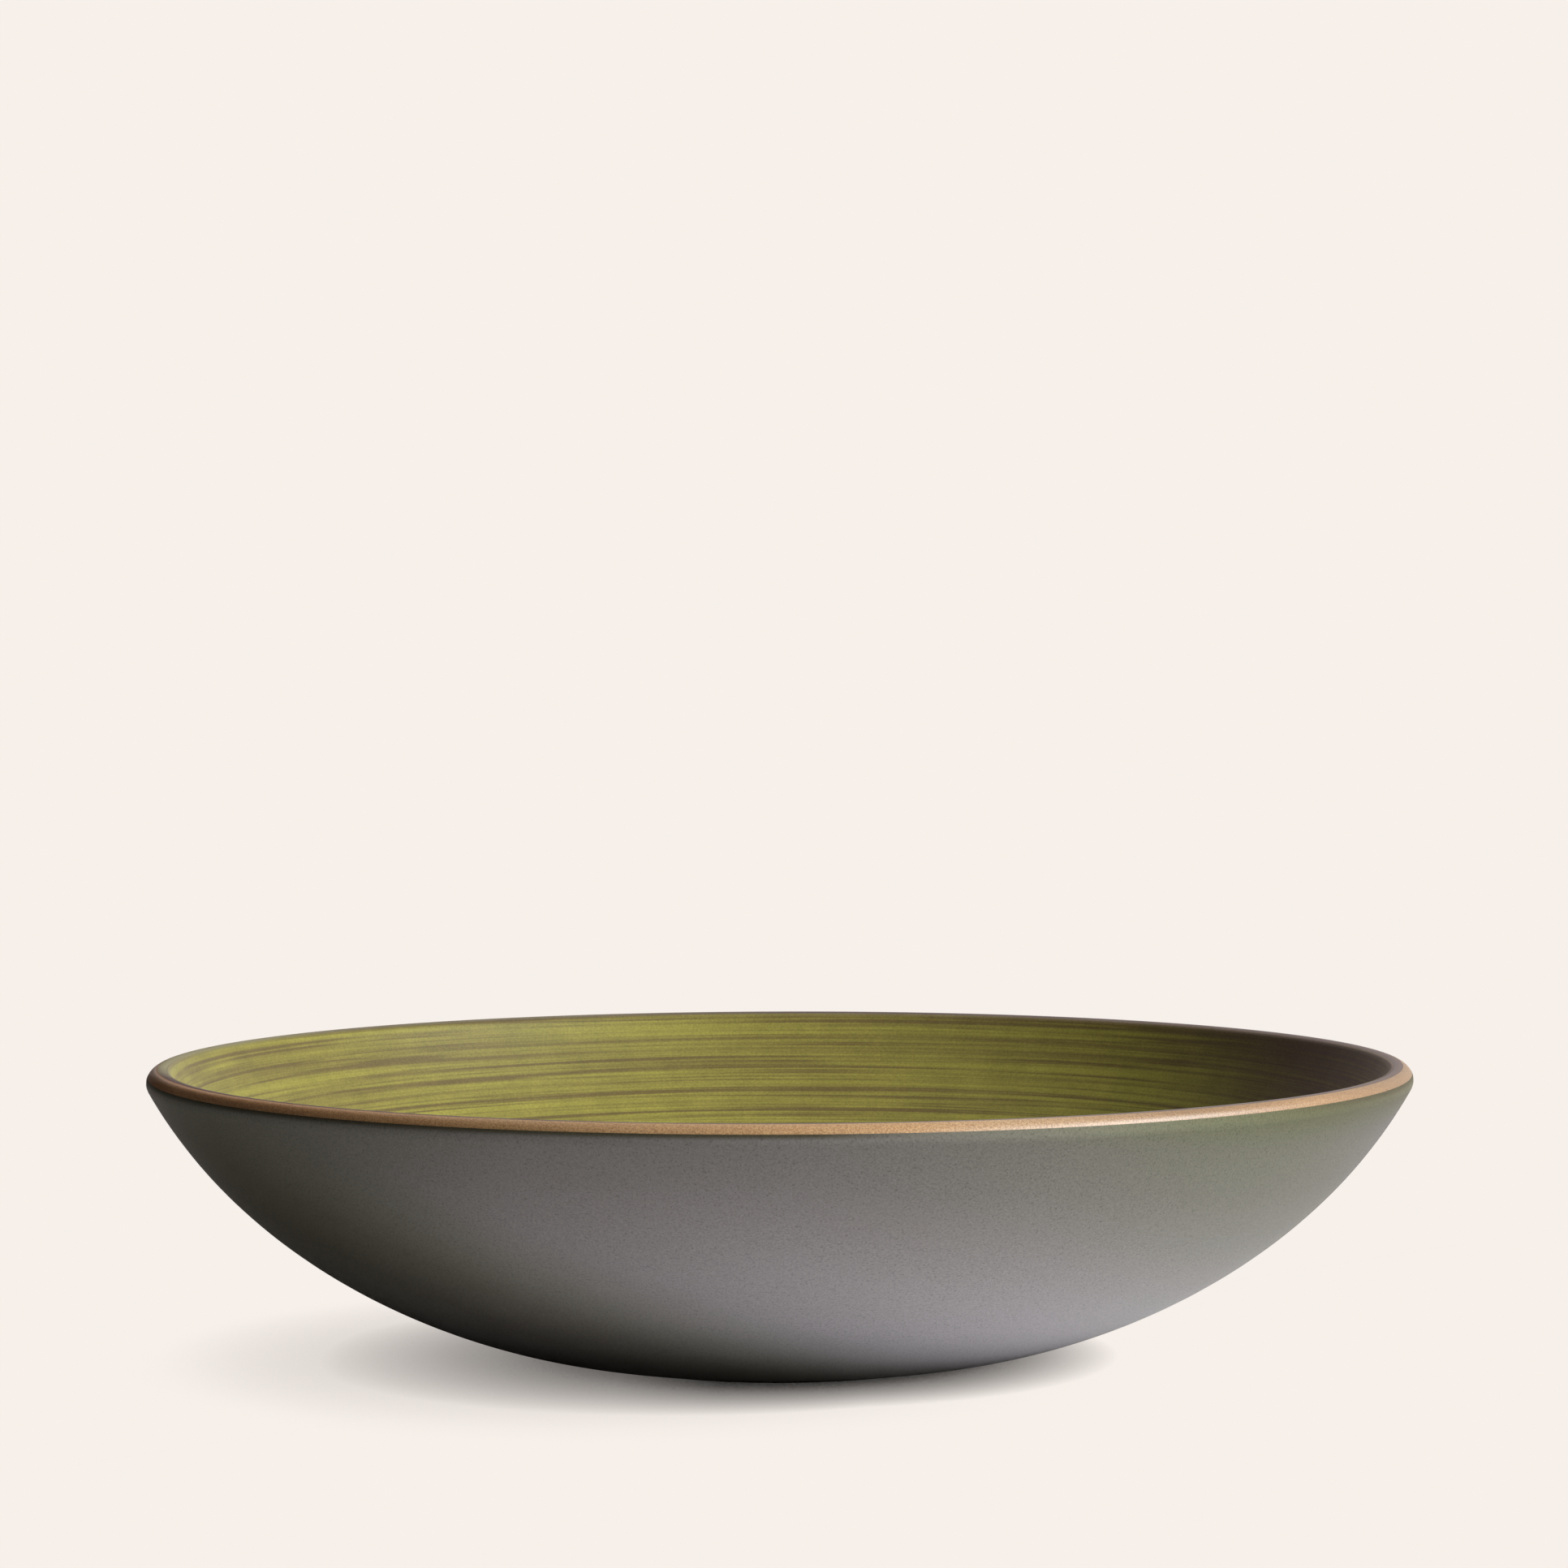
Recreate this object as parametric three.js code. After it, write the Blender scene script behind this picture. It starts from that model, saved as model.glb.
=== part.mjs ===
// Shallow salad bowl in wheel-thrown stoneware. Millimetres, +Z up.
// The bowl stands on z = 0 with its axis on Z. One clay body carries four fired glaze coats:
// a grey coat outside, a dark base coat inside, a green brushed coat over the base coat,
// and a coat in the well under the foot. The lip's outer shoulder and the foot ring are bare clay.
import * as THREE from 'three';

// Overall size, over the glaze
const RIM_DIAMETER = 320;
const HEIGHT = 75;

// Clay wall: its lean from upright under the lip, and how far each end of a wall keeps its direction
const FLARE_DEG = 29;
const UPPER_SWEEP = 57.5;
const OUTER_LOWER_SWEEP = 24;
const INNER_FLOOR_SWEEP = 76;
const FLOOR_THICKNESS = 5.6;

// Clay lip: an outer and an inner round that meet along its highest line
const LIP_OUTER_ROUND = 3.1;
const LIP_INNER_ROUND = 2.6;

// Foot ring, and the shallow well turned inside it
const FOOT_DIAMETER = 96;
const FOOT_FACE_WIDTH = 6;
const FOOT_HEIGHT = 1.65;
const FOOT_EDGE_ROUND = 0.4;
const WELL_DEPTH = 2;
const WELL_FILLET = 1.2;

// Glaze coats, and the fired bond line that each one leaves under it
const OUTER_GLAZE_THICKNESS = 0.4;
const BASE_GLAZE_THICKNESS = 0.35;
const BRUSH_GLAZE_THICKNESS = 0.25;
const WELL_GLAZE_THICKNESS = 0.3;
const BOND_LINE = 0.05;

// Where the coats stop, as an angle round the lip: 0 is its outermost line and 90 its highest one
const OUTER_GLAZE_EDGE_DEG = 23;
const BASE_GLAZE_EDGE_DEG = 73;
const LIP_TOP_DEG = 90;
const BRUSH_GLAZE_EDGE_DEG = 118;

// Facets round the axis, and steps along each wall
const SEGMENTS = 64;
const WALL_STEPS = 9;

// The clay's own radii and heights, inside the coats
const clayRimRadius = RIM_DIAMETER / 2 - BOND_LINE - OUTER_GLAZE_THICKNESS;
const clayHeight = HEIGHT - BOND_LINE - BASE_GLAZE_THICKNESS;
const lipTopRadius = clayRimRadius - LIP_OUTER_ROUND;
const footRadius = FOOT_DIAMETER / 2;
const footInnerRadius = footRadius - FOOT_FACE_WIDTH;
const wellRadius = footInnerRadius - WELL_FILLET;
const floorHeight = WELL_DEPTH + FLOOR_THICKNESS;

// A station is a point of the clay's profile with the direction that leads straight out of the clay.
// Stations run the way the profile does: from under the well, up the outer wall, over the lip and down inside.
function lipStation(degrees) {
  const angle = THREE.MathUtils.degToRad(degrees);
  const round = degrees <= LIP_TOP_DEG ? LIP_OUTER_ROUND : LIP_INNER_ROUND;
  const normal = new THREE.Vector2(Math.cos(angle), Math.sin(angle));
  const centre = new THREE.Vector2(lipTopRadius, clayHeight - round);
  return { point: normal.clone().multiplyScalar(round).add(centre), normal };
}

function lipStations(fromDegrees, toDegrees, steps) {
  const stations = [];
  for (let i = 0; i <= steps; i += 1) {
    stations.push(lipStation(THREE.MathUtils.lerp(fromDegrees, toDegrees, i / steps)));
  }
  return stations;
}

function wallStations(curve) {
  const stations = [];
  for (let i = 0; i <= WALL_STEPS; i += 1) {
    const tangent = curve.getTangent(i / WALL_STEPS);
    const normal = new THREE.Vector2(tangent.y, -tangent.x);
    stations.push({ point: curve.getPoint(i / WALL_STEPS), normal });
  }
  return stations;
}

// The walls meet the lip's rounds in line with them, so both leave the lip at the same lean.
const lipStartDegrees = -FLARE_DEG;
const lipEndDegrees = 180 - FLARE_DEG;
const flare = THREE.MathUtils.degToRad(FLARE_DEG);
const downWall = new THREE.Vector2(-Math.sin(flare), -Math.cos(flare)).multiplyScalar(UPPER_SWEEP);

function outerWallCurve() {
  const underLip = lipStation(lipStartDegrees).point;
  return new THREE.CubicBezierCurve(
    new THREE.Vector2(footRadius, FOOT_HEIGHT),
    new THREE.Vector2(footRadius + OUTER_LOWER_SWEEP, FOOT_HEIGHT),
    underLip.clone().add(downWall),
    underLip,
  );
}

function innerWallCurve() {
  const underLip = lipStation(lipEndDegrees).point;
  return new THREE.CubicBezierCurve(
    underLip,
    underLip.clone().add(downWall),
    new THREE.Vector2(INNER_FLOOR_SWEEP, floorHeight),
    new THREE.Vector2(0, floorHeight),
  );
}

// Bare foot: the fillet of the well, then the standing face between its two eased edges
function footProfile() {
  const quarter = Math.PI / 2;
  const edge = FOOT_EDGE_ROUND;
  const foot = new THREE.Path();
  foot.absarc(wellRadius, WELL_DEPTH - WELL_FILLET, WELL_FILLET, quarter, 0, true);
  foot.absarc(footInnerRadius + edge, edge, edge, 2 * quarter, 3 * quarter);
  foot.absarc(footRadius - edge, edge, edge, 3 * quarter, 4 * quarter);
  return foot.getPoints(1);
}

// The clay's skin in stretches, each of which is bare or carries a coat
const down = new THREE.Vector2(0, -1);
const wellSkin = [
  { point: new THREE.Vector2(0, WELL_DEPTH), normal: down },
  { point: new THREE.Vector2(wellRadius, WELL_DEPTH), normal: down },
];
const outerSkin = [
  ...wallStations(outerWallCurve()),
  ...lipStations(lipStartDegrees, OUTER_GLAZE_EDGE_DEG, 2).slice(1),
];
const bareShoulder = lipStations(OUTER_GLAZE_EDGE_DEG, BASE_GLAZE_EDGE_DEG, 2);
const lipTopSkin = [
  ...lipStations(BASE_GLAZE_EDGE_DEG, LIP_TOP_DEG, 1),
  ...lipStations(LIP_TOP_DEG, BRUSH_GLAZE_EDGE_DEG, 1).slice(1),
];
const innerSkin = [
  ...lipStations(BRUSH_GLAZE_EDGE_DEG, lipEndDegrees, 1),
  ...wallStations(innerWallCurve()).slice(1),
];

// Points at a set distance out of the clay, never past the axis
function lifted(stations, distance) {
  return stations.map(({ point, normal }) => {
    const moved = point.clone().addScaledVector(normal, distance);
    return new THREE.Vector2(Math.max(moved.x, 0), moved.y);
  });
}

function revolved(profile) {
  return new THREE.LatheGeometry(profile, SEGMENTS).rotateX(Math.PI / 2);
}

function clayGeometry() {
  const profile = [
    wellSkin[0].point,
    ...footProfile(),
    ...lifted(outerSkin, 0),
    ...lifted(bareShoulder, 0).slice(1),
    ...lifted(lipTopSkin, 0).slice(1),
    ...lifted(innerSkin, 0).slice(1),
  ];
  return revolved(profile);
}

// A coat of even thickness over a stretch of skin, from its back on the bond line to its open face
function coatGeometry(stations, backDistance, thickness) {
  const face = lifted(stations, backDistance + thickness);
  const back = lifted(stations, backDistance).reverse();
  const startsOnAxis = stations[0].point.x === 0;
  const endsOnAxis = stations.at(-1).point.x === 0;
  if (endsOnAxis) return revolved([...back, ...face]);
  if (startsOnAxis) return revolved([...face, ...back]);
  return revolved([...face, ...back, face[0].clone()]);
}

function piece(name, geometry, color, roughness) {
  const material = new THREE.MeshStandardMaterial({ color, roughness, metalness: 0 });
  const mesh = new THREE.Mesh(geometry, material);
  mesh.name = name;
  return mesh;
}

const brushBackDistance = 2 * BOND_LINE + BASE_GLAZE_THICKNESS;
const outerGlaze = coatGeometry(outerSkin, BOND_LINE, OUTER_GLAZE_THICKNESS);
const baseGlaze = coatGeometry([...lipTopSkin, ...innerSkin.slice(1)], BOND_LINE, BASE_GLAZE_THICKNESS);
const brushGlaze = coatGeometry(innerSkin, brushBackDistance, BRUSH_GLAZE_THICKNESS);
const wellGlaze = coatGeometry(wellSkin, BOND_LINE, WELL_GLAZE_THICKNESS);

const bowl = new THREE.Group();
bowl.add(piece('stoneware_body', clayGeometry(), 0xb48a60, 0.8));
bowl.add(piece('outer_glaze', outerGlaze, 0x8b8882, 0.55));
bowl.add(piece('inner_base_glaze', baseGlaze, 0x43342f, 0.35));
bowl.add(piece('green_brush_glaze', brushGlaze, 0xa09752, 0.4));
bowl.add(piece('foot_well_glaze', wellGlaze, 0x85827c, 0.55));

export default bowl;
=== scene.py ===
# Shallow salad bowl in thrown stoneware, glazed matt grey outside and brushed green over plum inside.
# Metres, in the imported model's frame: +Z up, the bowl's axis on Z, its foot ring standing on z = 0.
import math

import bmesh
import bpy
from mathutils import Matrix, Vector
from mathutils.geometry import interpolate_bezier


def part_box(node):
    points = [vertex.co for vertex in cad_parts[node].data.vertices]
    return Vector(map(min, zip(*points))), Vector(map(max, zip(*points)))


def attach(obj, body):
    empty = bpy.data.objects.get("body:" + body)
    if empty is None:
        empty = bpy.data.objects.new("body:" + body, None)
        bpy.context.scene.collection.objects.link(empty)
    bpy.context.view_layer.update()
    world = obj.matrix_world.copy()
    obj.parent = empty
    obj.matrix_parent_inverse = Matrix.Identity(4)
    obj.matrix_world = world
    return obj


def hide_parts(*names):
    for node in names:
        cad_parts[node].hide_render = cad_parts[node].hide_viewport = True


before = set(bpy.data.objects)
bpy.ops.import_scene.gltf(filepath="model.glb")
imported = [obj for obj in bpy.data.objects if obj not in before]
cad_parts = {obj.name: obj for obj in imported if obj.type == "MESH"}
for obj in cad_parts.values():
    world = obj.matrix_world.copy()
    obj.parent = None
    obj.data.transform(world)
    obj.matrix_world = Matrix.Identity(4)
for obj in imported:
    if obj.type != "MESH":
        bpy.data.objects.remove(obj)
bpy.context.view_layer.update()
scene = bpy.context.scene
scene.view_settings.view_transform = 'Standard'


# Camera
# A long lens a little above the rim, as in the photograph. The place and the three small angles are
# the best fit of the bowl's outline and of the lip's two edges.
camera_place = Vector((0.0, -1.12, 0.1754))
camera_tilt_down = math.radians(1.539)
camera_turn_right = math.radians(0.0645)
camera_roll = math.radians(-0.1615)
lens_mm = 101.04
sensor_mm = 36.0

camera_data = bpy.data.cameras.new("camera")
camera_data.sensor_width = sensor_mm
camera_data.lens = lens_mm
camera = bpy.data.objects.new("camera", camera_data)
camera.matrix_world = (
    Matrix.Translation(camera_place)
    @ Matrix.Rotation(-camera_turn_right, 4, 'Z')
    @ Matrix.Rotation(math.radians(90) - camera_tilt_down, 4, 'X')
    @ Matrix.Rotation(camera_roll, 4, 'Z')
)
scene.collection.objects.link(camera)
scene.camera = camera


# Studio
# A softbox on the right, a weak one behind, a black flag on the left, and a white table that throws light
# back up at the flared wall, less of it under the bowl's left front, where painted shade darkens the table.
# The table and the backdrop are seen as a plain warm white, with a soft shadow.
studio_white = (0.930, 0.871, 0.823, 1.0)
softbox_target = Vector((0, 0, 0.04))
softbox_distance = 1.2
softbox_width = 0.9
softbox_height = 0.3
softbox_azimuth = math.radians(70)
softbox_elevation = math.radians(37)
softbox_level = 1.5
back_azimuth = math.radians(200)
back_elevation = math.radians(16)
back_level = 0.45
table_half_width = 20.0
table_albedo = 0.95
contact_reach_right = 0.0088
contact_reach_left = 0.0215
contact_reach_fade = (0.02, -0.11)
contact_power = 0.52
contact_lift = 0.14
contact_lift_fade = (-0.015, -0.04)
tail_reach = 0.06
tail_open_at = 0.76
tail_darkest = 0.72
wide_reach = 0.18
wide_open_at = 1.0
wide_darkest = 0.0
all_hidden_at = 0.5
shadow_samples = 16
wide_samples = 4
# Painted shade: the table's thrown light is darkened under the bowl's left front.
left_shade_darkest = 0.22
left_shade_right_fade = (-0.055, 0.03)
left_shade_front_fade = (-0.09, -0.13)
left_shade_back_fade = (0.0, 0.05)
flag_place = Vector((-0.6, 0.2, 0.55))
flag_length = 2.6
flag_height = 1.1
flag_albedo = 0.01


def add_node(tree, kind, inputs=None, **settings):
    made = tree.nodes.new(kind)
    for name, value in settings.items():
        setattr(made, name, value)
    for key, value in (inputs or {}).items():
        if isinstance(value, bpy.types.NodeSocket):
            tree.links.new(value, made.inputs[key])
        else:
            made.inputs[key].default_value = value
    return made


def combined(tree, operation, first, second):
    return add_node(tree, "ShaderNodeMath", {0: first, 1: second}, operation=operation).outputs[0]


def faded(tree, value, ends, results=(0.0, 1.0), ease='LINEAR'):
    return add_node(tree, "ShaderNodeMapRange", {
        "Value": value, "From Min": ends[0], "From Max": ends[1], "To Min": results[0], "To Max": results[1]},
        interpolation_type=ease).outputs[0]


def grey(level):
    return (level, level, level, 1.0)


def add_softbox(name, azimuth, elevation, level):
    direction = Vector((
        math.sin(azimuth) * math.cos(elevation),
        -math.cos(azimuth) * math.cos(elevation),
        math.sin(elevation)))
    lamp_data = bpy.data.lights.new(name, 'AREA')
    lamp_data.shape = 'RECTANGLE'
    lamp_data.size = softbox_width
    lamp_data.size_y = softbox_height
    lamp_data.energy = level * (math.pi * softbox_distance) ** 2
    lamp = bpy.data.objects.new(name, lamp_data)
    lamp.rotation_mode = 'QUATERNION'
    lamp.rotation_quaternion = direction.to_track_quat('Z', 'Y')
    lamp.location = softbox_target + softbox_distance * direction
    scene.collection.objects.link(lamp)
    return lamp


add_softbox("softbox", softbox_azimuth, softbox_elevation, softbox_level)
back_lamp = add_softbox("back_softbox", back_azimuth, back_elevation, back_level)
back_lamp.visible_glossy = False

world = bpy.data.worlds.new("studio")
world.use_nodes = True
scene.world = world


def shown_plainly(tree):
    ray = add_node(tree, "ShaderNodeLightPath")
    seen = combined(tree, 'ADD', ray.outputs["Is Camera Ray"], ray.outputs["Is Glossy Ray"])
    return add_node(tree, "ShaderNodeMath", {
        0: seen, 1: ray.outputs["Is Transmission Ray"]}, operation='ADD', use_clamp=True).outputs[0]


sky = world.node_tree
sky.nodes.clear()
backdrop = add_node(sky, "ShaderNodeBackground", {"Color": studio_white, "Strength": shown_plainly(sky)})
add_node(sky, "ShaderNodeOutputWorld", {"Surface": backdrop.outputs[0]})

table_mesh = bpy.data.meshes.new("table_top")
shape = bmesh.new()
bmesh.ops.create_grid(shape, x_segments=1, y_segments=1, size=table_half_width)
shape.to_mesh(table_mesh)
shape.free()
table_top = bpy.data.objects.new("table_top", table_mesh)
scene.collection.objects.link(table_top)

table_material = bpy.data.materials.new("table_white")
table_material.use_nodes = True
tree = table_material.node_tree
tree.nodes.clear()
table_place = add_node(tree, "ShaderNodeTexCoord").outputs["Object"]
table_axes = add_node(tree, "ShaderNodeSeparateXYZ", {0: table_place})
table_x = table_axes.outputs["X"]
table_y = table_axes.outputs["Y"]
contact_reach = faded(tree, table_x, contact_reach_fade, (contact_reach_right, contact_reach_left))
near_sky = add_node(tree, "ShaderNodeAmbientOcclusion", {"Distance": contact_reach}, samples=shadow_samples)
contact = combined(tree, 'POWER', near_sky.outputs["AO"], contact_power)
contact_darkest = faded(tree, table_x, contact_lift_fade, (0.0, contact_lift))
contact = faded(tree, contact, (0.0, 1.0), (contact_darkest, 1.0))
level_to_right = add_node(tree, "ShaderNodeCombineXYZ", {"X": 1.0}).outputs[0]


def sky_to_right(reach, open_at, darkest, samples):
    sky_share = add_node(tree, "ShaderNodeAmbientOcclusion", {
        "Distance": reach, "Normal": level_to_right}, samples=samples)
    return faded(tree, sky_share.outputs["AO"], (all_hidden_at, open_at), (darkest, 1.0))


tail = sky_to_right(tail_reach, tail_open_at, tail_darkest, shadow_samples)
shadow = combined(tree, 'MULTIPLY', contact, tail)
wide_shade = sky_to_right(wide_reach, wide_open_at, wide_darkest, wide_samples)
# Painted shade on the table's bounce, under the bowl's left front.
before_left_shade = faded(tree, table_y, left_shade_front_fade)
behind_left_shade = faded(tree, table_y, left_shade_back_fade)
past_left_shade = combined(tree, 'MAXIMUM', before_left_shade, behind_left_shade)
painted_left_shade = combined(tree, 'MAXIMUM', past_left_shade, faded(tree, table_x, left_shade_right_fade, (left_shade_darkest, 1.0)))
under_bowl = combined(tree, 'MULTIPLY', combined(tree, 'MULTIPLY', wide_shade, shadow), painted_left_shade)
thrown_back = combined(tree, 'MULTIPLY', under_bowl, table_albedo)
bounce = add_node(tree, "ShaderNodeBsdfDiffuse", {"Color": thrown_back})
camera_ray = add_node(tree, "ShaderNodeLightPath").outputs["Is Camera Ray"]
paper_shade = add_node(tree, "ShaderNodeMix", {0: camera_ray, 2: under_bowl, 3: shadow}, data_type='FLOAT')
paper = add_node(tree, "ShaderNodeEmission", {"Color": studio_white, "Strength": paper_shade.outputs[0]})
either = add_node(tree, "ShaderNodeMixShader", {
    0: shown_plainly(tree), 1: bounce.outputs[0], 2: paper.outputs[0]})
add_node(tree, "ShaderNodeOutputMaterial", {"Surface": either.outputs[0]})
table_mesh.materials.append(table_material)

flag_mesh = bpy.data.meshes.new("black_flag")
shape = bmesh.new()
bmesh.ops.create_grid(shape, x_segments=1, y_segments=1, size=0.5)
bmesh.ops.transform(shape, verts=shape.verts, matrix=(
    Matrix.Translation(flag_place) @ Matrix.Rotation(math.radians(90), 4, 'Y')
    @ Matrix.Diagonal((flag_height, flag_length, 1, 1))))
shape.to_mesh(flag_mesh)
shape.free()
black_flag = bpy.data.objects.new("black_flag", flag_mesh)
black_flag.visible_camera = False
black_flag.visible_shadow = False
scene.collection.objects.link(black_flag)

flag_material = bpy.data.materials.new("flag_black")
flag_material.use_nodes = True
tree = flag_material.node_tree
tree.nodes.clear()
cloth = add_node(tree, "ShaderNodeBsdfDiffuse", {"Color": grey(flag_albedo)})
add_node(tree, "ShaderNodeOutputMaterial", {"Surface": cloth.outputs[0]})
flag_mesh.materials.append(flag_material)


# Stoneware bowl
# Thrown on the wheel and turned: a flared wall that sweeps out of a low foot ring, thinnest halfway up,
# with a full round lip. Sandy tan clay shows where the glaze was wiped off the lip's shoulder and on the
# foot ring. Its tone by side is painted light: painted shade darkens both ends of the lip, and the front
# right is tinted paler and bluer as a painted highlight.
MM = 0.001
clay_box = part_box("stoneware_body")
well_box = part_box("foot_well_glaze")
bond_line = 0.05 * MM

flare_deg = 29
upper_sweep = 57.5 * MM
outer_lower_sweep = 24 * MM
inner_floor_sweep = 76 * MM
lip_outer_round = 3.1 * MM
lip_inner_round = 2.6 * MM
bare_from_deg = 23
bare_to_deg = 73
bare_rise = 0.4 * MM
floor_thickness = 5.6 * MM
foot_radius = 48 * MM
foot_face_width = 6 * MM
foot_height = 1.65 * MM
foot_edge_round = 0.4 * MM
well_radius = well_box[1].x
well_depth = well_box[1].z + bond_line
well_fillet = foot_radius - foot_face_width - well_radius
floor_height = well_depth + floor_thickness
spin_steps = 160
outer_wall_steps = 64
inner_wall_steps = 72
lip_under_steps = 18
shoulder_steps = 24
lap_steps = 12
lip_inside_steps = 16
fillet_steps = 5
foot_edge_steps = 4
merge_distance = 0.001 * MM
sharp_angle = math.radians(50)

lip_top = Vector((clay_box[1].x - lip_outer_round, 0, clay_box[1].z))
outer_centre = lip_top - Vector((0, 0, lip_outer_round))
inner_centre = lip_top - Vector((0, 0, lip_inner_round))


def arc(centre, radius, start_deg, end_deg, steps):
    angles = [math.radians(start_deg + (end_deg - start_deg) * i / steps) for i in range(steps + 1)]
    return [centre + radius * Vector((math.cos(a), 0, math.sin(a))) for a in angles]


def spun(name, profile, closed):
    shape = bmesh.new()
    corners = [shape.verts.new(point) for point in profile]
    following = corners[1:] + corners[:1] if closed else corners[1:]
    sides = [shape.edges.new(pair) for pair in zip(corners, following)]
    bmesh.ops.spin(shape, geom=corners + sides, cent=(0, 0, 0), axis=(0, 0, 1),
                   angle=math.tau, steps=spin_steps, use_merge=True)
    bmesh.ops.remove_doubles(shape, verts=shape.verts, dist=merge_distance)
    bmesh.ops.recalc_face_normals(shape, faces=shape.faces)
    for face in shape.faces:
        face.smooth = True
    for edge in shape.edges:
        edge.smooth = edge.calc_face_angle(0.0) < sharp_angle
    mesh = bpy.data.meshes.new(name)
    shape.to_mesh(mesh)
    shape.free()
    piece = bpy.data.objects.new(name, mesh)
    scene.collection.objects.link(piece)
    return piece


def lifted(skin, heights):
    raised = []
    for i, point in enumerate(skin):
        along = skin[min(i + 1, len(skin) - 1)] - skin[max(i - 1, 0)]
        out = Vector((along.z, 0, -along.x)).normalized()
        moved = point + heights[i] * out
        raised.append(Vector((max(moved.x, 0), 0, moved.z)))
    return raised


def distances_along(skin):
    run = [0.0]
    for a, b in zip(skin, skin[1:]):
        run.append(run[-1] + (b - a).length)
    return run


def bead(distance, width):
    near = min(distance / width, 1.0)
    return math.sqrt(1 - (1 - near) ** 2)


flare = math.radians(flare_deg)
down_wall = upper_sweep * Vector((-math.sin(flare), 0, -math.cos(flare)))
lip_arc_out = arc(outer_centre, lip_outer_round, -flare_deg, bare_from_deg, lip_under_steps)
bare_shoulder = arc(outer_centre, lip_outer_round + bare_rise, bare_from_deg, bare_to_deg, shoulder_steps)
lip_top_out = arc(outer_centre, lip_outer_round, bare_to_deg, 90, lap_steps)
lip_arc_in = arc(inner_centre, lip_inner_round, 90, 180 - flare_deg, lip_inside_steps)
foot_top = Vector((foot_radius, 0, foot_height))
floor_middle = Vector((0, 0, floor_height))
outer_wall = interpolate_bezier(
    foot_top, foot_top + Vector((outer_lower_sweep, 0, 0)),
    lip_arc_out[0] + down_wall, lip_arc_out[0], outer_wall_steps)
inner_wall = interpolate_bezier(
    lip_arc_in[-1], lip_arc_in[-1] + down_wall,
    floor_middle + Vector((inner_floor_sweep, 0, 0)), floor_middle, inner_wall_steps)
well_corner = Vector((well_radius, 0, well_depth - well_fillet))
foot_inner_edge = Vector((foot_radius - foot_face_width + foot_edge_round, 0, foot_edge_round))
foot_outer_edge = Vector((foot_radius - foot_edge_round, 0, foot_edge_round))
foot_ring = (
    arc(well_corner, well_fillet, 90, 0, fillet_steps)
    + arc(foot_inner_edge, foot_edge_round, 180, 270, foot_edge_steps)
    + arc(foot_outer_edge, foot_edge_round, 270, 360, foot_edge_steps)
)
clay_profile = (
    [Vector((0, 0, well_depth))] + foot_ring + outer_wall + lip_arc_out[1:] + bare_shoulder + lip_top_out
    + lip_arc_in[1:] + inner_wall[1:])

stoneware_bowl = spun("thrown_stoneware", clay_profile, closed=False)
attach(stoneware_bowl, "root")
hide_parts("stoneware_body")


def new_finish(name, roughness, specular):
    material = bpy.data.materials.new(name)
    material.use_nodes = True
    finish = material.node_tree.nodes["Principled BSDF"]
    finish.inputs["Roughness"].default_value = roughness
    finish.inputs["Specular IOR Level"].default_value = specular
    place = add_node(material.node_tree, "ShaderNodeTexCoord").outputs["Object"]
    axes = add_node(material.node_tree, "ShaderNodeSeparateXYZ", {0: place})
    return material, material.node_tree, finish, place, axes.outputs


def blend_colours(tree, factor, first, second):
    mix = add_node(tree, "ShaderNodeMix", data_type='RGBA')
    for socket, value in ((mix.inputs[0], factor), (mix.inputs[6], first), (mix.inputs[7], second)):
        if isinstance(value, bpy.types.NodeSocket):
            tree.links.new(value, socket)
        else:
            socket.default_value = value
    return mix.outputs[2]


def multiplied(tree, first, second):
    return add_node(tree, "ShaderNodeVectorMath", {0: first, 1: second}, operation='MULTIPLY').outputs[0]


def noise(tree, place, scale, detail):
    return add_node(tree, "ShaderNodeTexNoise", {
        "Vector": place, "Scale": scale, "Detail": detail}).outputs[0]


def add_relief(tree, finish, height, depth, strength):
    relief = add_node(tree, "ShaderNodeBump", {"Height": height, "Distance": depth, "Strength": strength})
    tree.links.new(relief.outputs[0], finish.inputs["Normal"])


def colour_ramp(tree, value, stops, ease='LINEAR'):
    low, high = stops[0][0], stops[-1][0]
    ramp = add_node(tree, "ShaderNodeValToRGB", {0: faded(tree, value, (low, high))})
    ramp.color_ramp.interpolation = ease
    marks = ramp.color_ramp.elements
    while len(marks) < len(stops):
        marks.new(0.5)
    for mark, (position, colour) in zip(marks, stops):
        mark.position = (position - low) / (high - low)
        mark.color = colour
    return ramp.outputs["Color"]


clay_light = (0.62, 0.380, 0.182, 1.0)
clay_dark = (0.35, 0.19, 0.082, 1.0)
# Painted light: shade at both ends of the lip, and a paler, bluer highlight tint on the front right.
clay_painted_light_by_x = (
    (-160 * MM, (0.26, 0.20, 0.20, 1.0)), (-152 * MM, (0.62, 0.50, 0.48, 1.0)),
    (-144 * MM, (1.08, 0.94, 0.94, 1.0)), (-110 * MM, (0.97, 0.87, 0.85, 1.0)),
    (-60 * MM, (0.85, 0.84, 0.81, 1.0)), (28 * MM, (1.0, 1.02, 1.05, 1.0)),
    (50 * MM, (0.93, 1.03, 1.24, 1.0)), (75 * MM, (0.73, 0.78, 0.90, 1.0)),
    (92 * MM, (0.53, 0.54, 0.57, 1.0)), (123 * MM, (0.62, 0.61, 0.60, 1.0)),
    (150 * MM, (0.45, 0.45, 0.46, 1.0)))
sand_grain = 0.4 * MM
sand_spread = (0.35, 0.65)
sand_depth = 0.06 * MM
sand_strength = 0.7


def sandy_clay(tree, place, axes):
    sand = noise(tree, place, 1 / sand_grain, detail=3.0)
    speckled = blend_colours(tree, faded(tree, sand, sand_spread), clay_dark, clay_light)
    return multiplied(tree, speckled, colour_ramp(tree, axes["X"], clay_painted_light_by_x)), sand


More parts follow.
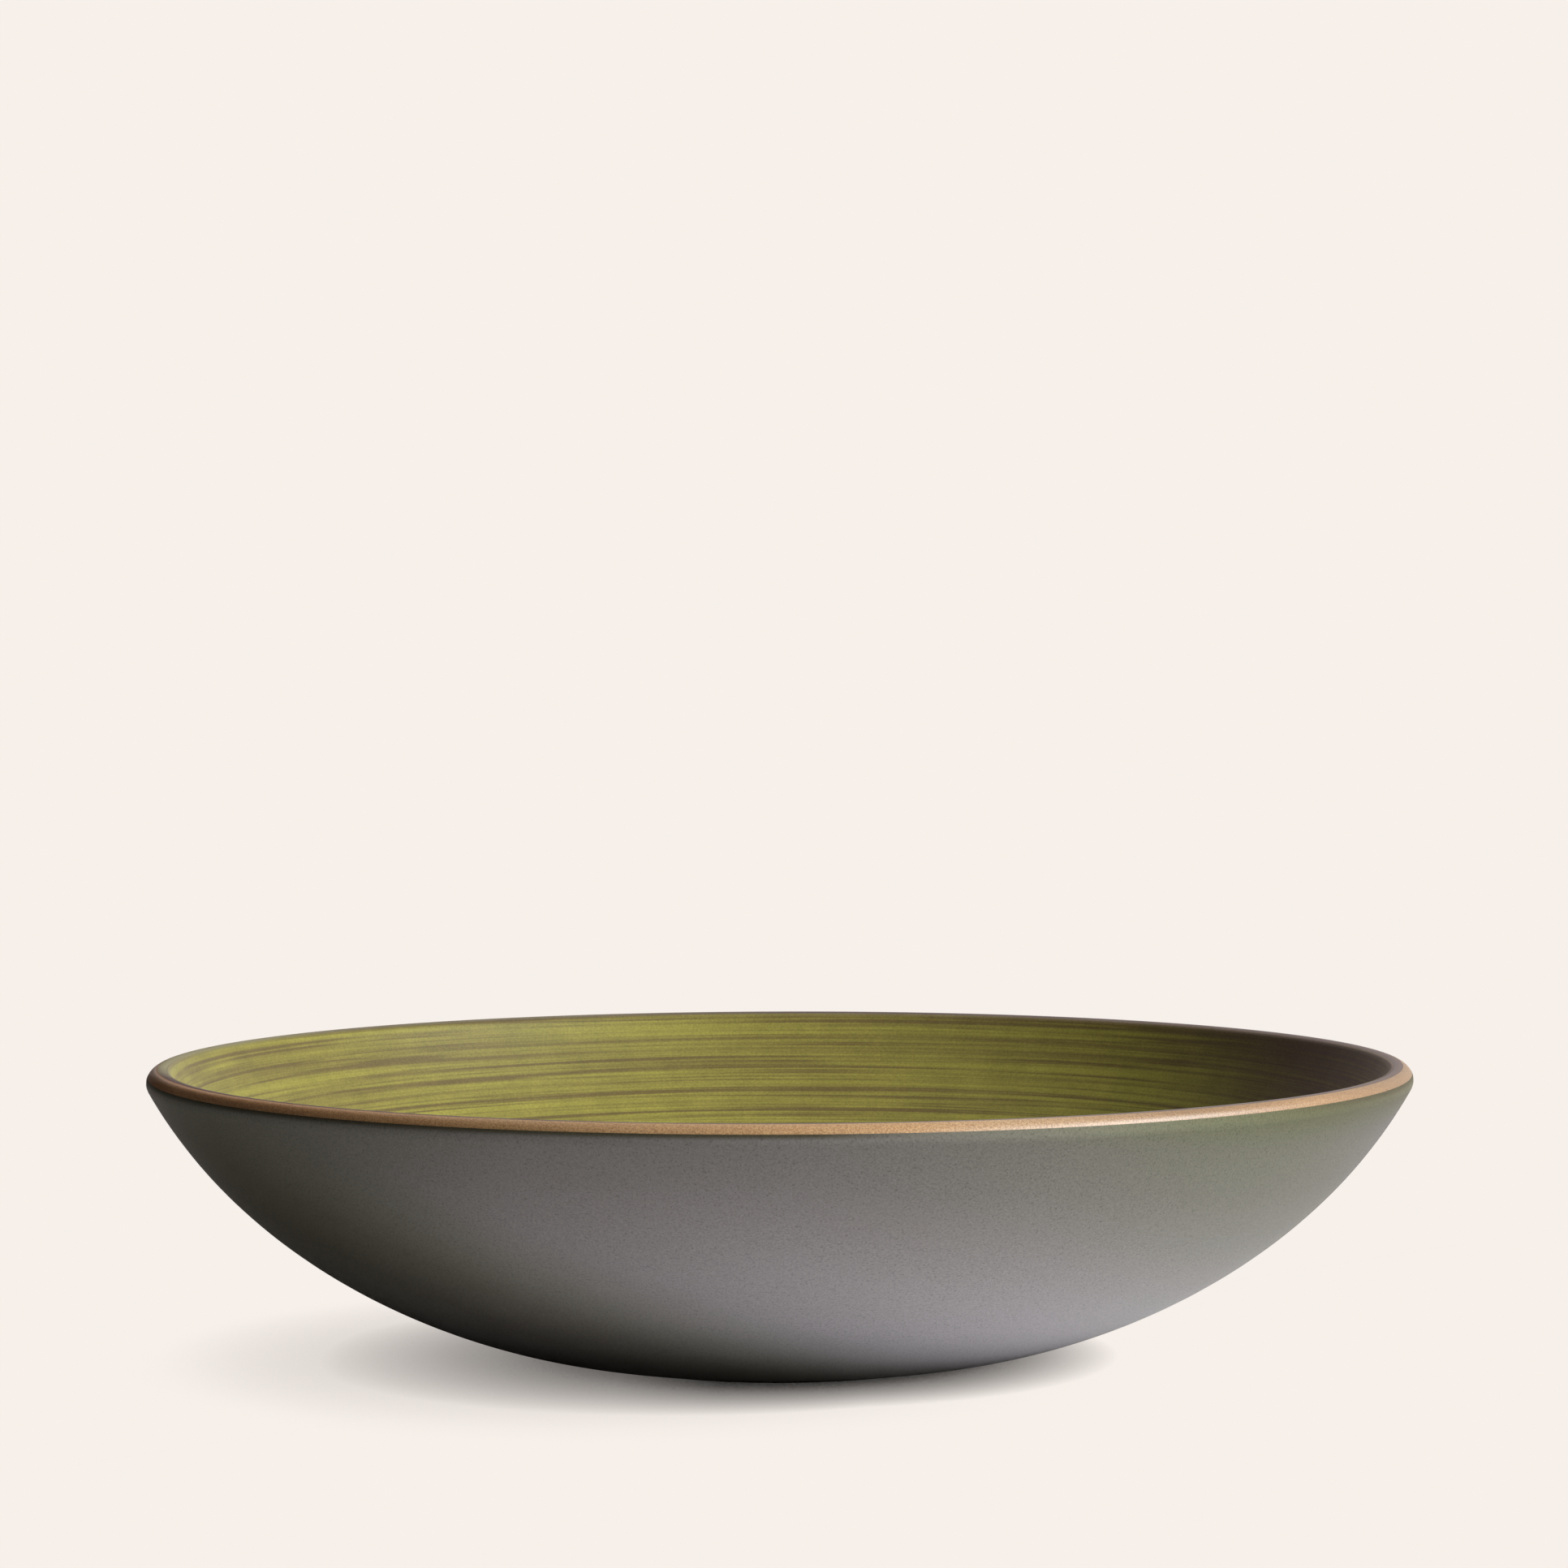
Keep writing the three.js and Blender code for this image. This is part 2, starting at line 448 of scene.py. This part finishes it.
clay_material, tree, finish, place, axes = new_finish("bare_stoneware", roughness=0.41, specular=0.5)
clay_colour, sand = sandy_clay(tree, place, axes)
tree.links.new(clay_colour, finish.inputs["Base Color"])
add_relief(tree, finish, sand, sand_depth, sand_strength)
stoneware_bowl.data.materials.append(clay_material)


# Grey outer glaze
# A satin matt coat poured over the outside and wiped back at the lip and the foot. It is thin and olive
# towards the lip, sage on the right, and thicker and lavender grey lower down. Painted shade darkens it
# right by the foot, low on the left and just under the lip on the right, and its tone from side to side is
# painted light, with a painted sheen at both silhouette edges. It ends under the lip in a fine dark edge,
# made fainter on the front right as painted light.
outer_thickness = 0.4 * MM
outer_bead = 0.6 * MM

outer_skin = outer_wall + lip_arc_out[1:]
outer_run = distances_along(outer_skin)
outer_face = [bond_line + outer_thickness * bead(d, outer_bead) for d in outer_run]
outer_profile = lifted(outer_skin, outer_face) + lifted(outer_skin, [bond_line] * len(outer_skin))[:0:-1]
outer_glaze = spun("grey_outer_glaze", outer_profile, closed=True)
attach(outer_glaze, "root")
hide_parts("outer_glaze")

# The darkest stop, right by the foot, is painted shade.
grey_with_foot_shade_by_height = (
    (4 * MM, (0.245, 0.240, 0.242, 1.0)), (15 * MM, (0.437, 0.424, 0.444, 1.0)),
    (24 * MM, (0.440, 0.421, 0.438, 1.0)), (36 * MM, (0.380, 0.356, 0.361, 1.0)),
    (52 * MM, (0.290, 0.271, 0.265, 1.0)), (62 * MM, (0.238, 0.222, 0.212, 1.0)),
    (74 * MM, (0.198, 0.186, 0.170, 1.0)), (86 * MM, (0.158, 0.166, 0.088, 1.0)))
# On the right the height colours are shifted up, so the olive of the lip reaches lower.
olive_shift_right = (0.0, 11 * MM)
olive_shift_fade = (0.0, 120 * MM)
# Painted light and shade from side to side, with a painted sheen at both silhouette edges.
grey_painted_light_by_x = (
    (-160 * MM, (1.6, 1.4, 1.55, 1.0)), (-153 * MM, (1.4, 1.25, 1.28, 1.0)),
    (-147 * MM, (1.08, 1.04, 0.96, 1.0)), (-125 * MM, (1.0, 1.0, 0.89, 1.0)),
    (-105 * MM, (0.96, 0.96, 0.87, 1.0)), (-60 * MM, (1.19, 1.17, 1.17, 1.0)),
    (60 * MM, (1.05, 1.05, 1.07, 1.0)), (106 * MM, (0.93, 0.96, 0.93, 1.0)),
    (130 * MM, (0.91, 0.93, 0.90, 1.0)), (143 * MM, (0.93, 0.94, 0.96, 1.0)),
    (156 * MM, (1.0, 0.97, 1.08, 1.0)))
sage_tint = (0.955, 0.985, 0.85, 1.0)
sage_rise = (26 * MM, 62 * MM)
sage_by_x = ((5 * MM, grey(0.0)), (95 * MM, grey(1.0)), (115 * MM, grey(0.9)), (145 * MM, grey(0.25)))
# Painted shade, low on the left, away from the light.
low_left_shade_lean = 0.4
low_left_painted_shade = (
    (-14 * MM, (0.80, 0.78, 0.70, 1.0)), (-5 * MM, (0.60, 0.58, 0.48, 1.0)),
    (5 * MM, (0.66, 0.65, 0.54, 1.0)), (11 * MM, (0.78, 0.79, 0.68, 1.0)),
    (17 * MM, (0.89, 0.90, 0.83, 1.0)), (26 * MM, grey(1.0)))
# Painted shade on the wall just under the lip, on the right.
lip_painted_shade_by_height = (
    (60 * MM, grey(1.0)), (66 * MM, grey(0.92)),
    (69.5 * MM, (0.83, 0.80, 0.80, 1.0)), (72.5 * MM, (0.63, 0.575, 0.56, 1.0)))
lip_painted_shade_by_x = (
    (75 * MM, grey(0.0)), (98 * MM, grey(0.35)), (115 * MM, grey(0.65)), (133 * MM, grey(1.0)),
    (148 * MM, grey(1.0)), (158 * MM, grey(0.6)))
grey_edge = (0.070, 0.062, 0.038, 1.0)
# Painted light: the dark edge is made fainter on the front right, where the highlight falls.
edge_by_x = (
    (8 * MM, grey(1.0)), (32 * MM, grey(0.2)), (115 * MM, grey(0.2)), (140 * MM, grey(0.8)))
edge_height = outer_centre.z + (lip_outer_round + outer_thickness) * math.sin(math.radians(bare_from_deg))
edge_fade = (edge_height - 1.6 * MM, edge_height - 0.2 * MM)
peel_grain = 0.45 * MM
peel_spread = (0.3, 0.7)
peel_shades = (0.87, 1.15)
pit_grain = 0.55 * MM
pit_spread = (0.57, 0.72)
pit_shades = (1.0, 0.76)
peel_depth = 0.04 * MM
peel_strength = 0.5

grey_material, tree, finish, place, axes = new_finish("grey_matt_glaze", roughness=0.65, specular=0.12)
height = axes["Z"]
olive_height = combined(tree, 'ADD', height, faded(tree, axes["X"], olive_shift_fade, olive_shift_right))
body_grey = colour_ramp(tree, olive_height, grey_with_foot_shade_by_height)
body_grey = multiplied(tree, body_grey, colour_ramp(tree, axes["X"], grey_painted_light_by_x))
sage_share = faded(tree, height, sage_rise, (0.0, colour_ramp(tree, axes["X"], sage_by_x)))
body_grey = multiplied(tree, body_grey, blend_colours(tree, sage_share, grey(1.0), sage_tint))
low_left_shade_level = combined(tree, 'ADD', combined(tree, 'MULTIPLY', axes["X"], low_left_shade_lean), height)
body_grey = multiplied(tree, body_grey, colour_ramp(tree, low_left_shade_level, low_left_painted_shade))
lip_shade_side = colour_ramp(tree, axes["X"], lip_painted_shade_by_x)
lip_painted_shade = blend_colours(tree, lip_shade_side, grey(1.0), colour_ramp(tree, height, lip_painted_shade_by_height))
body_grey = multiplied(tree, body_grey, lip_painted_shade)
edge_share = faded(
    tree, height, edge_fade, (0.0, colour_ramp(tree, axes["X"], edge_by_x)), 'SMOOTHSTEP')
edged_grey = blend_colours(tree, edge_share, body_grey, grey_edge)
peel = faded(tree, noise(tree, place, 1 / peel_grain, detail=2.0), peel_spread, peel_shades)
pits = faded(tree, noise(tree, place, 1 / pit_grain, detail=1.0), pit_spread, pit_shades)
grain = combined(tree, 'MULTIPLY', peel, pits)
tree.links.new(multiplied(tree, edged_grey, grain), finish.inputs["Base Color"])
add_relief(tree, finish, grain, peel_depth, peel_strength)
outer_glaze.data.materials.append(grey_material)


# Plum base glaze
# The dark coat that lines the inside and laps over the top of the lip, above the bare clay. It is semi-gloss
# in front, duller to the left, and under a veil of the green coat at the back left. Elsewhere it shows only
# between the green coat's brush bands.
base_thickness = 0.35 * MM

base_skin = lip_top_out + lip_arc_in[1:] + inner_wall[1:]
base_face = [bond_line + base_thickness] * len(base_skin)
base_profile = lifted(base_skin, [bond_line] * len(base_skin))[::-1] + lifted(base_skin, base_face)
base_glaze = spun("plum_base_glaze", base_profile, closed=False)
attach(base_glaze, "root")
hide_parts("inner_base_glaze")

plum = (0.062, 0.038, 0.034, 1.0)
plum_light = (0.105, 0.066, 0.060, 1.0)
plum_mottle_scale = 700.0
green_veil = (0.28, 0.25, 0.15, 1.0)
veil_by_x = ((-140 * MM, grey(1.0)), (-118 * MM, grey(0.6)), (-60 * MM, grey(0.6)), (10 * MM, grey(0.0)))
veil_back_fade = (-45 * MM, -15 * MM)
lap_roughness = (
    (-150 * MM, grey(0.7)), (30 * MM, grey(0.34)), (105 * MM, grey(0.34)), (150 * MM, grey(0.44)))
lap_thins = (lip_top.x + 0.55 * MM, lip_top.x + 0.95 * MM)
lap_further_right = (0.0, 0.35 * MM)
lap_further_fade = (60 * MM, 110 * MM)


def radius_from_axis(tree, place):
    level = multiplied(tree, place, (1, 1, 0))
    return level, add_node(tree, "ShaderNodeVectorMath", {0: level}, operation='LENGTH').outputs["Value"]


plum_material, tree, finish, place, axes = new_finish("plum_base_glaze", roughness=0.34, specular=0.22)
level, radius = radius_from_axis(tree, place)
lap_further = faded(tree, axes["X"], lap_further_fade, lap_further_right)
lap_radius = combined(tree, 'SUBTRACT', radius, lap_further)
thinned = faded(tree, lap_radius, lap_thins, ease='SMOOTHSTEP')
mottle = noise(tree, place, plum_mottle_scale, detail=3.0)
plum_colour = blend_colours(tree, mottle, plum, plum_light)
veil = faded(tree, axes["Y"], veil_back_fade, (0.0, colour_ramp(tree, axes["X"], veil_by_x)))
plum_colour = blend_colours(tree, veil, plum_colour, green_veil)
clay_through, sand = sandy_clay(tree, place, axes)
tree.links.new(blend_colours(tree, thinned, plum_colour, clay_through), finish.inputs["Base Color"])
tree.links.new(colour_ramp(tree, axes["X"], lap_roughness), finish.inputs["Roughness"])
add_relief(tree, finish, combined(tree, 'MULTIPLY', sand, thinned), sand_depth, sand_strength)
base_glaze.data.materials.append(plum_material)


# Green brushed glaze
# A yellow-green coat banded over the base coat with a brush while the bowl turned. The bands run round the
# wall. Dark streaks of the base coat show where the brush left little glaze, most of all at the top edge
# and on the right.
green_thickness = 0.25 * MM
green_edge_deg = 118
green_edge_steps = 10
green_bead = 1.0 * MM

green_skin = arc(inner_centre, lip_inner_round, green_edge_deg, 180 - flare_deg, green_edge_steps)
green_skin += inner_wall[1:]
green_back = 2 * bond_line + base_thickness
green_run = distances_along(green_skin)
green_face = [green_back + green_thickness * bead(d, green_bead) for d in green_run]
green_profile = (
    lifted(green_skin, [green_back] * len(green_skin))[::-1] + lifted(green_skin, green_face)[1:])
green_glaze = spun("green_brushed_glaze", green_profile, closed=False)
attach(green_glaze, "root")
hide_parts("green_brush_glaze")

green_full = (0.310, 0.285, 0.060, 1.0)
green_scant = (0.150, 0.115, 0.040, 1.0)
plum_showing = (0.112, 0.074, 0.074, 1.0)
brush_roughness = ((100 * MM, grey(0.45)), (150 * MM, grey(0.64)))
sum_lost_per_run = 1.39
brush_gaps = (
    (3.5, 0.9, 0.50), (8.8, 1.0, 0.45), (12.0, 0.8, 0.40), (15.0, 1.0, 0.45), (18.6, 1.0, 0.55),
    (26.0, 1.3, 0.85), (33.0, 1.1, 0.75), (38.6, 1.0, 0.50), (45.0, 1.3, 0.70),
)
gap_reach = 48.0
thin_line_spacings = ((5.0, 0.5), (2.6, 0.7))
thin_line_width = 0.06
thin_line_depth = 0.42
thin_line_spread = (0.35, 0.62)
noise_middle = 0.5
stroke_spread = (0.3, 0.7)
drift_spread = (0.2, 0.8)
drift_mm = (-0.6, 0.6)
gap_fade_shares = (0.5, 1.2)
ragged_shares = (0.55, 1.25)
hair_shares = (0.26, -0.12)
strand_spread = (0.32, 0.68)
strand_shares = (0.34, -0.14)
broad_shares = (0.25, -0.05)
thin_top_mm = (0.0, 11.0)
thin_top_shares = (0.5, 0.0)
thin_right_fade = (-60 * MM, 80 * MM)
bare_right_fade = (96 * MM, 150 * MM)
bare_hair_spread = (0.35, 0.65)
bare_hair_shares = (0.98, 0.72)
bare_edge_mm = (0.0, 1.8)
bare_edge_shares = (0.8, 0.0)
bare_edge_left_fade = (-150 * MM, -60 * MM)
bare_edge_left_shares = (0.2, 1.0)
patch_scale = 120.0
patch_shades = (0.92, 1.08)
speck_grain = 0.6 * MM
speck_shades = (0.86, 1.12)
mottle_spread = (0.25, 0.75)
brush_depth = 0.04 * MM
brush_strength = 0.4

green_material, tree, finish, place, axes = new_finish("green_brush_glaze", roughness=0.45, specular=0.2)
level, radius = radius_from_axis(tree, place)
heading = add_node(tree, "ShaderNodeVectorMath", {0: level}, operation='NORMALIZE').outputs[0]
green_edge = lifted(green_skin, green_face)[0]
edge_sum = green_edge.x + green_edge.z
run_mm = add_node(tree, "ShaderNodeMapRange", {
    "Value": combined(tree, 'ADD', radius, axes["Z"]),
    "From Min": edge_sum, "From Max": edge_sum - sum_lost_per_run,
    "To Min": 0.0, "To Max": 1.0 / MM}, clamp=False).outputs[0]


def eased(value, ends, results=(0.0, 1.0)):
    return faded(tree, value, ends, results, 'SMOOTHSTEP')


def brush_strokes(run, width, turn, detail=0.0):
    around = add_node(tree, "ShaderNodeVectorMath", {0: heading, "Scale": turn}, operation='SCALE')
    across = add_node(tree, "ShaderNodeCombineXYZ", {"Z": combined(tree, 'MULTIPLY', run, 1 / width)})
    stroke = add_node(tree, "ShaderNodeVectorMath", {
        0: around.outputs[0], 1: across.outputs[0]}, operation='ADD')
    return noise(tree, stroke.outputs[0], 1.0, detail)


drift = eased(brush_strokes(run_mm, width=30.0, turn=1.2), drift_spread, drift_mm)
drifted = combined(tree, 'ADD', run_mm, drift)
gap_stops = [(0.0, grey(0.0))]
for middle, half_width, depth in brush_gaps:
    gap_stops += [
        (middle - half_width, grey(0.0)), (middle, grey(depth)), (middle + half_width, grey(0.0))]
gap_stops.append((gap_reach, grey(0.0)))
main_gaps = colour_ramp(tree, drifted, gap_stops, 'EASE')
gap_fade = eased(brush_strokes(run_mm, width=8.0, turn=1.3, detail=1.0), stroke_spread, gap_fade_shares)
ragged = eased(brush_strokes(run_mm, width=0.8, turn=3.0, detail=1.0), stroke_spread, ragged_shares)
missing = combined(tree, 'MULTIPLY', combined(tree, 'MULTIPLY', main_gaps, gap_fade), ragged)

for spacing, turn in thin_line_spacings:
    line_noise = brush_strokes(drifted, spacing, turn)
    off_middle = combined(tree, 'ABSOLUTE', combined(tree, 'SUBTRACT', line_noise, noise_middle), 0.0)
    lines = eased(off_middle, (0.0, thin_line_width), (thin_line_depth, 0.0))
    line_fade = eased(brush_strokes(run_mm, spacing, turn=3.2, detail=1.0), thin_line_spread)
    missing = combined(tree, 'ADD', missing, combined(tree, 'MULTIPLY', lines, line_fade))
hairs = brush_strokes(run_mm, width=0.55, turn=2.2, detail=2.0)
hair_gaps = eased(hairs, stroke_spread, hair_shares)
strands = eased(brush_strokes(drifted, width=1.25, turn=0.9, detail=1.0), strand_spread, strand_shares)
broad_gaps = eased(brush_strokes(run_mm, width=9.0, turn=0.8, detail=1.0), stroke_spread, broad_shares)
thin_right = eased(axes["X"], thin_right_fade)
thin_top = combined(tree, 'MULTIPLY', eased(run_mm, thin_top_mm, thin_top_shares), thin_right)
for layer in (strands, hair_gaps, broad_gaps, thin_top):
    missing = combined(tree, 'ADD', missing, layer)

brushed = blend_colours(tree, missing, green_full, green_scant)
bare_hairs = eased(hairs, bare_hair_spread, bare_hair_shares)
bare_right = combined(tree, 'MULTIPLY', eased(axes["X"], bare_right_fade), bare_hairs)
bare_left = eased(axes["X"], bare_edge_left_fade, bare_edge_left_shares)
bare_edge = combined(tree, 'MULTIPLY', eased(run_mm, bare_edge_mm, bare_edge_shares), bare_left)
covered = blend_colours(tree, combined(tree, 'MAXIMUM', bare_right, bare_edge), brushed, plum_showing)
patches = eased(noise(tree, place, patch_scale, detail=5.0), mottle_spread, patch_shades)
specks = eased(noise(tree, place, 1 / speck_grain, detail=1.0), mottle_spread, speck_shades)
green_colour = multiplied(tree, covered, combined(tree, 'MULTIPLY', patches, specks))
tree.links.new(green_colour, finish.inputs["Base Color"])
tree.links.new(colour_ramp(tree, axes["X"], brush_roughness), finish.inputs["Roughness"])
add_relief(tree, finish, hairs, brush_depth, brush_strength)
green_glaze.data.materials.append(green_material)


# Glazed well
# The same grey glaze, dabbed into the shallow well inside the foot ring. The ring itself is left bare, so
# that the bowl doesn't fuse to the kiln shelf.
well_thickness = well_box[1].z - well_box[0].z
well_bead = 0.6 * MM
well_steps = 12
well_edge_steps = 6

well_skin = [Vector((well_radius * i / well_steps, 0, well_depth)) for i in range(well_steps)]
for i in range(well_edge_steps + 1):
    from_edge = well_bead * (1 - i / well_edge_steps) ** 2
    well_skin.append(Vector((well_radius - from_edge, 0, well_depth)))
well_run = distances_along(well_skin)
well_face = [bond_line + well_thickness * bead(well_run[-1] - d, well_bead) for d in well_run]
well_profile = lifted(well_skin, well_face) + lifted(well_skin, [bond_line] * len(well_skin))[-2::-1]
well_glaze = spun("grey_well_glaze", well_profile, closed=False)
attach(well_glaze, "root")
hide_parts("foot_well_glaze")
well_glaze.data.materials.append(grey_material)
